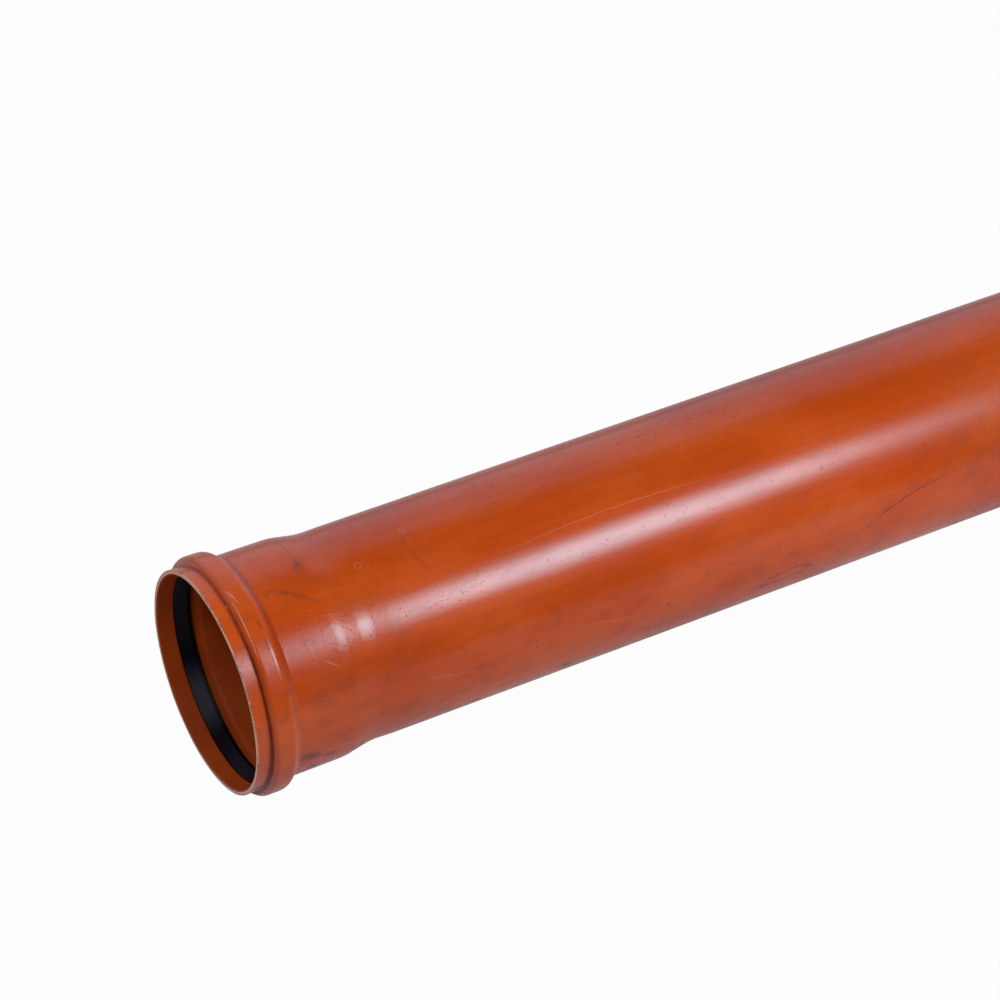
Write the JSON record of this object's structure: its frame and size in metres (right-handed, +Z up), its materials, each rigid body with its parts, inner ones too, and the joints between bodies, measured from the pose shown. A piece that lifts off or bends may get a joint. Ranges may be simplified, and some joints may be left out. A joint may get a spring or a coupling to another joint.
{
  "type": "pvc sewer pipe",
  "caption": "Plain plastic sewer pipe with a belled push-fit socket, a raised bead that holds a rubber lip seal, and a chamfered spigot end.",
  "frame": {"origin": "on the floor under the middle of the length, straight below the pipe's axis: centre of the box's bottom, where the bead touches", "axes": "+X along the pipe's axis from the socket's mouth towards the spigot end, which points the way +X does; +Z up; the pipe lies level on its bead"},
  "size_m": [1.079, 0.1818, 0.1818],
  "materials": {
    "pvc": "extruded orange-brown PVC-U, satin, with fine draw lines and light handling marks",
    "seal_rubber": "moulded black rubber, dull with a faint grey bloom"
  },
  "bodies": {
    "root": {"pipe": "pvc", "seal_ring": "seal_rubber"}
  },
  "joints": []
}
